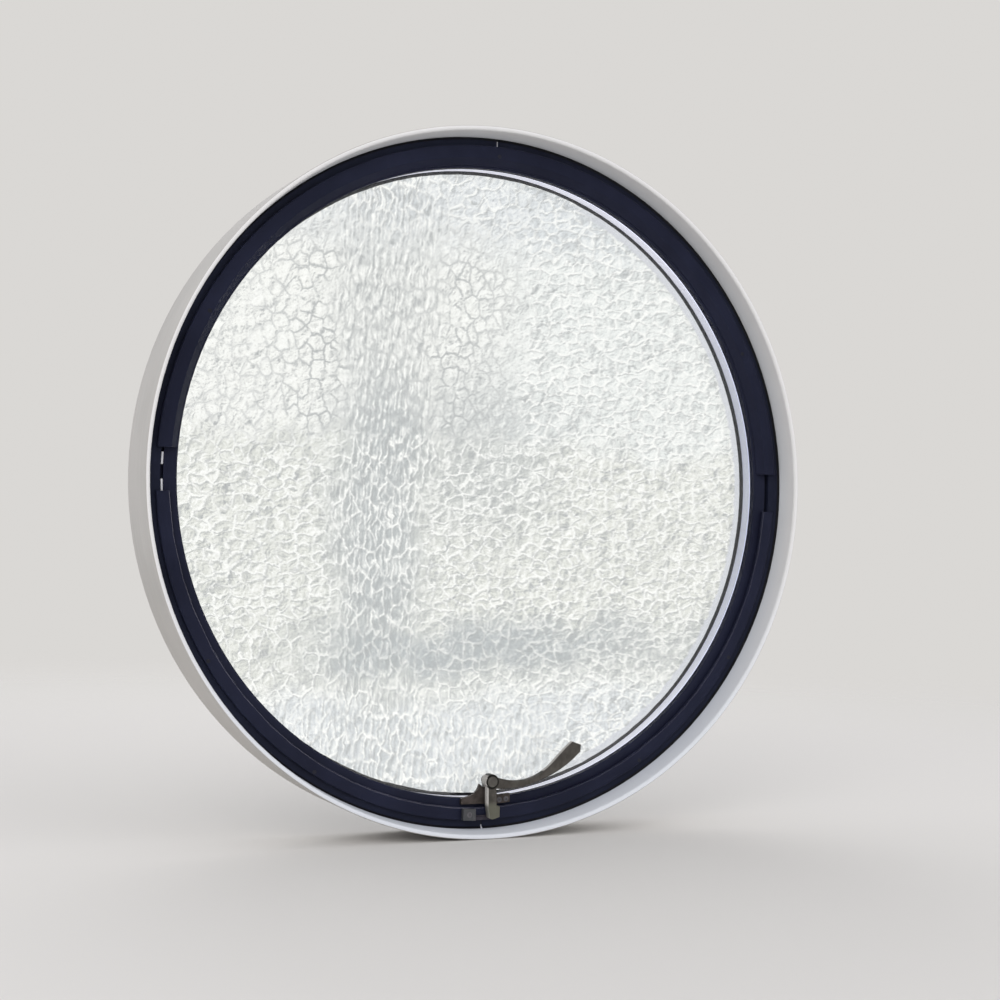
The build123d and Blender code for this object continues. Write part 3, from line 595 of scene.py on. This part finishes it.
def patterned_glass():
    """Rolled glass painted with the daylight seen through it: zones of painted light and shade
    bands, and drawn cells with painted dark outlines where it is pale and painted ridge highlights
    elsewhere.
    """
    material, glass = finish_called("cathedral_glass")
    x, _, z = glass.split(glass.place())
    flat = glass.join(x, 0.0, z)
    bend = glass.add("ShaderNodeTexNoise", None,
                     {"Vector": flat, "Scale": 75.0, "Detail": 3.0, "Roughness": 0.55}).out("Color")
    bend_x, _, bend_z = glass.split(bend)
    x_bent = x + (bend_x - 0.5) * BEND_X
    z_bent = z + (bend_z - 0.5) * BEND_Z
    drift = glass.noise(flat, 8.0, 3.0)
    patches = glass.noise(glass.join(x, 0.3, z), 26.0, 4.0, 0.6)
    wander = (drift - 0.5) * 0.06
    ragged = wander + (patches - 0.5) * 0.06
    # Bands of painted shade, the outdoors seen through the pane; the upright one also holds the
    # long cells.
    upright_band = 1.0 - (x - BAND_X + ragged).size().step(0.010, 0.085)
    level_band = 1.0 - (z - LEVEL_BAND_Z + ragged).size().step(0.008, 0.045)
    level_band = level_band * (x + ragged).step(-0.23, -0.10)
    level_band = level_band * (1.0 - (x + ragged).step(0.06, 0.24) * 0.5)
    foot = (1.0 - (z + ragged).step(-0.24, -0.18)) * (1.0 - (x + ragged).step(0.04, 0.18))
    upright = (upright_band + foot * 0.6).step(0.2, 0.7)
    fine = (x + ragged).step(0.035, 0.055)
    fine = fine.most(1.0 - (z - FINE_Z + ragged).size().step(0.07, 0.08))
    high = (z + ragged).step(0.025, 0.055)
    low = 1.0 - (z + ragged).step(-0.22, -0.17)
    middle = 1.0 - (z - MIDDLE_Z + ragged).size().step(0.02, 0.12)
    top = (z + ragged).step(0.19, 0.27)
    near_band = 1.0 - (x - NEAR_BAND_X + wander).size().step(0.060, 0.130)
    lined = high * (1.0 - fine) * (near_band * 0.4 + 0.6) * (1.0 - top)
    beside_band = (1.0 - (x + ragged).size().step(0.02, 0.12)) * middle
    heart = 1.0 - (z - HEART_Z + ragged).size().step(0.07, 0.17)
    painted_outdoor_shade = (upright_band * (heart * 0.56 + 0.34)).most(level_band)
    painted_outdoor_shade = painted_outdoor_shade.most(beside_band * 0.52)

    crossing = net_of_cells(glass, x_bent, z_bent, fine, upright)
    beside = net_of_cells(glass, x_bent - SHADOW_X, z_bent + SHADOW_Z, fine, upright)
    shadow = (beside - crossing).clear_of_ends()
    broken = glass.noise(glass.join(x, 1.3, z), 85.0, 3.0, 0.65).step(0.36, 0.52)

    pressed = slope_of(glass, x_bent, z_bent, 0.4, 88.0, 8.5)
    drawn = slope_of(glass, x + (bend_x - 0.5) * 0.007, z_bent * 0.24, 0.6, 240.0, 5.0)
    drawn = drawn * (high.most(middle) * 0.3 + 0.9)
    slope = pressed + (drawn - pressed) * upright
    slope = slope * (1.0 - high.most(1.0 - fine) * (1.0 - upright) * 0.2)
    # Each cell's chance tone lightens or darkens it as painted light.
    large_tone = cell_tone(glass, x_bent, z_bent, LARGE_CELL)
    small_tone = cell_tone(glass, x_bent, z_bent, SMALL_CELL)
    tone = large_tone + (small_tone - large_tone) * fine
    slope = slope + (tone - 0.5) * (0.50 - lined * 0.40)
    speck = glass.noise(flat, 560.0, 2.0, 0.75)

    # Painted light: the daylight seen through the pane, lighter, darker and cooler by zone, with
    # the painted shade bands and fine dark flecks.
    left_painted_daylight = glass.mix(high, (0.885, 0.885, 0.850), (0.950, 0.950, 0.915))
    painted_daylight = glass.mix((x + ragged).step(-0.05, 0.10), left_painted_daylight, (0.840, 0.865, 0.850))
    painted_daylight = glass.mix(low, painted_daylight, (0.715, 0.745, 0.770))
    painted_daylight = glass.mix(high.most(low), (0.770, 0.778, 0.725), painted_daylight)
    painted_daylight = glass.mix(top * 0.6, painted_daylight, (0.640, 0.680, 0.740))
    painted_daylight = glass.mix(painted_outdoor_shade, painted_daylight, (0.450, 0.480, 0.495))
    shade = glass.mix((speck - 0.5).size() * 2.0, painted_daylight, (0.62, 0.63, 0.61))
    # Painted highlights on the cell borders that are not outlined, and on slopes facing the light.
    painted_crest_highlight = (crossing * (1.0 - lined) * (broken * 0.6 + 0.4)).most(slope)
    painted_crest_highlight = painted_crest_highlight * (1.0 - level_band * 0.4)
    shade = glass.mix(painted_crest_highlight.clear_of_ends(), shade, (0.985, 0.985, 0.96))
    # Painted shade: dark outlines where the pane is pale, slopes turned from the light, and shadows
    # beside the cell borders.
    painted_dark_outlines = crossing * lined * (broken + near_band * 0.3).clear_of_ends()
    painted_glass_shade = (painted_dark_outlines * (1.0 - upright * 0.4)).most(0.0 - slope)
    painted_glass_shade = painted_glass_shade.most(shadow * (1.0 - lined) * (broken * 0.45 + 0.3))
    painted_glass_shade = painted_glass_shade.most(shadow * upright_band * (1.0 - lined) * (broken * 0.3 + 0.6))
    shade = glass.mix(painted_glass_shade.clear_of_ends() * 0.95, shade, (0.42, 0.435, 0.44))

    around = glass.distance(x, z)
    edge_wave = glass.noise(glass.join(x, 0.9, z), 120.0, 2.0) - 0.5
    margin = (around + edge_wave * 0.006).step(0.2886, 0.2898) * x.step(0.06, 0.14)
    shade = glass.mix(margin * (speck * 0.4 + 0.7).clear_of_ends(), shade,
                      (0.67, 0.685, 0.73))
    ripple = glass.noise(flat, 88.0, 2.0)
    relief = ripple * 0.7 + speck * 0.35
    glass.surface(Base_Color=shade, Roughness=0.09, IOR=1.5, Transmission_Weight=1.0,
                  Normal=glass.bump(relief, 0.30, 0.0008))
    return material


# Pieces that are shaped here
def patterned_pane():
    """Disc of rolled glass whose room side is uneven and whose outdoor side is flat."""
    shape = bmesh.new()
    rows = 250
    bmesh.ops.create_grid(shape, x_segments=rows, y_segments=rows, size=1.0)
    for point in shape.verts:
        u, v = point.co.x, point.co.y
        x = u * math.sqrt(max(0.0, 1.0 - v * v / 2.0)) * PANE_R
        z = v * math.sqrt(max(0.0, 1.0 - u * u / 2.0)) * PANE_R
        from_edge = min(1.0, (PANE_R - math.hypot(x, z)) / FLAT_RIM)
        wave = noise.noise(Vector((x * 75.0, z * 48.0, 0.3)))
        swell = noise.noise(Vector((x * 22.0, z * 16.0, 4.1)))
        lift = (RIPPLE_LIFT * wave + SWELL_LIFT * swell + MEAN_LIFT) * max(0.0, from_edge)
        point.co = (x, PANE_FRONT + lift, z)
    rim = [edge for edge in shape.edges if edge.is_boundary]
    wall = bmesh.ops.extrude_edge_only(shape, edges=rim)["geom"]
    for point in wall:
        if isinstance(point, bmesh.types.BMVert):
            point.co.y = PANE_BACK
    back_rim = [e for e in wall if isinstance(e, bmesh.types.BMEdge) and e.is_boundary]
    bmesh.ops.edgeloop_fill(shape, edges=back_rim)
    bmesh.ops.recalc_face_normals(shape, faces=shape.faces)
    pane = piece_from(shape, "rolled_pane")
    for face in pane.data.polygons:
        face.use_smooth = len(face.vertices) == 4 and abs(face.normal.y) > 0.5
    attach(pane, "sash")
    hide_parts("patterned_pane")
    pane.data.materials.append(patterned_glass())


def leak_light_ears(material):
    """Two bare ends of the left pivot plate that show in the gap beside the frame, near-white to
    stand in for the daylight that leaks through the gap.
    """
    for name, low, high in (("leak_light_ear_low", -0.0193, -0.0084), ("leak_light_ear_high", 0.0043, 0.0152)):
        middle = (low + high) / 2.0
        shape = bmesh.new()
        bmesh.ops.create_cube(shape, size=1.0)
        bmesh.ops.scale(shape, verts=shape.verts, vec=(EAR_WIDTH, EAR_DEPTH, high - low))
        bmesh.ops.rotate(shape, verts=shape.verts, cent=(0.0, 0.0, 0.0),
                         matrix=Matrix.Rotation(math.asin(middle / SASH_R), 3, "Y"))
        out = math.sqrt(SASH_R ** 2 - middle ** 2) + EAR_STANDS_OUT
        bmesh.ops.translate(shape, verts=shape.verts, vec=(-out, EAR_MIDDLE, middle))
        bmesh.ops.bevel(shape, geom=shape.edges, offset=0.0003, affect="EDGES", segments=2,
                        profile=0.5, material=-1)
        ear = piece_from(shape, name)
        ear.data.materials.append(material)
        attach(ear, "sash")


def butyl_seal(material):
    """Edge seal of the unit, whose squeezed-out inner bead has a wavy edge."""
    beside_spacer = SPACER_OUT_R + SEAL_GAP
    outline = ((beside_spacer, INNER_PANE_BACK), (PANE_R, INNER_PANE_BACK),
               (PANE_R, PANE_FRONT), (BEAD_R, PANE_FRONT), (BEAD_R, SPACER_BACK),
               (beside_spacer, SPACER_BACK))
    shape = bmesh.new()
    corners = [shape.verts.new((radius, depth, 0.0)) for radius, depth in outline]
    sides = [shape.edges.new((corners[i - 1], corners[i])) for i in range(len(corners))]
    bmesh.ops.spin(shape, geom=corners + sides, cent=(0.0, 0.0, 0.0), axis=(0.0, 1.0, 0.0),
                   angle=2.0 * math.pi, steps=720, use_merge=True)
    for point in shape.verts:
        radius = math.hypot(point.co.x, point.co.z)
        if radius < BEAD_R + 0.0001:
            turn = math.atan2(point.co.z, point.co.x)
            place = Vector((math.cos(turn) * 9.0, math.sin(turn) * 9.0, 0.5))
            wave = noise.noise(place) * SEAL_WAVE + noise.noise(place * 4.0) * SEAL_FINE_WAVE
            point.co.x *= 1.0 + wave / radius
            point.co.z *= 1.0 + wave / radius
    bmesh.ops.recalc_face_normals(shape, faces=shape.faces)
    seal = piece_from(shape, "butyl_seal")
    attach(seal, "sash")
    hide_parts("edge_seal")
    seal.data.materials.append(material)


# The window
set_camera()
set_world()
soft_light("window_side", (-1.6, -2.2, 1.5), (0.0, 0.0, 0.0), 1.8, 20.0, (1.0, 0.985, 0.96))
soft_light("room_fill", (1.8, -1.9, 0.6), (0.0, 0.0, 0.0), 2.2, 8.0, (0.95, 0.97, 1.0))
soft_light("behind", (0.4, 2.4, 1.8), (0.0, 0.0, 0.0), 2.0, 16.0)
lay_floor()

frame_coat = powder_coat("frame_coat", (0.0122, 0.0146, 0.0300))
sash_coat = powder_coat("sash_coat", (0.0128, 0.0148, 0.0315))
dress(["frame_half_left", "frame_half_right", "outer_stop"], frame_coat)
dress(["sash_ring", "inner_flange", "outer_flange", "glazing_bead"], sash_coat)
dress(["wall_liner"], liner_white())
dress(["perimeter_sealant"], frame_sealant())
dress(["inner_stop_seal", "outer_stop_seal", "inner_flange_seal", "outer_flange_seal",
       "inner_gasket", "outer_gasket"], rubber("seal_rubber", (0.011, 0.011, 0.012), 0.60))
dress(["setting_blocks", "pivot_bush_left", "pivot_bush_right"],
      rubber("black_nylon", (0.016, 0.016, 0.018), 0.42))
dress(["spacer_bar"], spacer_foil())
dress(["pivot_plate_left", "pivot_plate_right"], sash_coat)
# Near-white, barely metallic aluminium: painted light for the daylight leaking through the pivot
# gap.
leak_light_ears(brushed("aluminium_and_leak_light", (0.90, 0.90, 0.94), 0.36, (1.0, 4.0, 1.0), metallic=0.1))
dress(["joint_key_top"], joint_tongue_finish("upper_tongue", 0.3170))
dress(["joint_key_bottom"], joint_tongue_finish("lower_tongue", 0.3222))
dress(["pivot_blocks"], brushed("bright_aluminium", (0.80, 0.80, 0.83), 0.30, (1.0, 4.0, 1.0)))
dress(["pivot_stud_left", "pivot_stud_right", "joint_screws", "frame_fixing_screws",
       "pivot_plate_screws", "wave_washer"], brushed("zinc_steel", (0.58, 0.59, 0.62), 0.32))
dress(["stop_screws", "flange_screws"],
      brushed("blackened_steel", (0.018, 0.019, 0.030), 0.45, metallic=0.3))

bracket_bronze = bronze("bracket_bronze", (0.062, 0.050, 0.044), (0.115, 0.095, 0.086),
                        (0.22, 0.20, 0.19), metallic=0.55)
# The inner stop's coat carries a painted highlight along its inner edge.
stop_coat = edge_highlight_coat("stop_coat", (0.0128, 0.0148, 0.0315), (0.42, 0.41, 0.47))
for node, body, finish, slot, ease in (
        ("handle_lever", "handle", lever_bronze(), "latch_bronze", 0.0006),
        ("handle_bracket", "sash", bracket_bronze, "latch_bronze", 0.0006),
        ("keeper", "frame", keeper_bronze(), "latch_bronze", 0.0006),
        ("inner_stop", "frame", stop_coat, "frame_paint", 0.00045)):
    eased = softened(node, body, ease, painted_highlight_side=node == "handle_lever")
    eased.data.materials.clear()
    eased.data.materials.append(finish)
dress(["handle_pin"],
      bronze("pin_bronze", (0.125, 0.118, 0.104), (0.20, 0.19, 0.17), (0.30, 0.28, 0.25)))
dress(["bracket_screws", "keeper_screws"],
      bronze("screw_bronze", (0.15, 0.145, 0.155), (0.23, 0.22, 0.235), (0.36, 0.35, 0.36)))
dress(["inner_pane"], clear_glass())
patterned_pane()
butyl_seal(rubber("butyl", (0.008, 0.008, 0.010), 0.45))
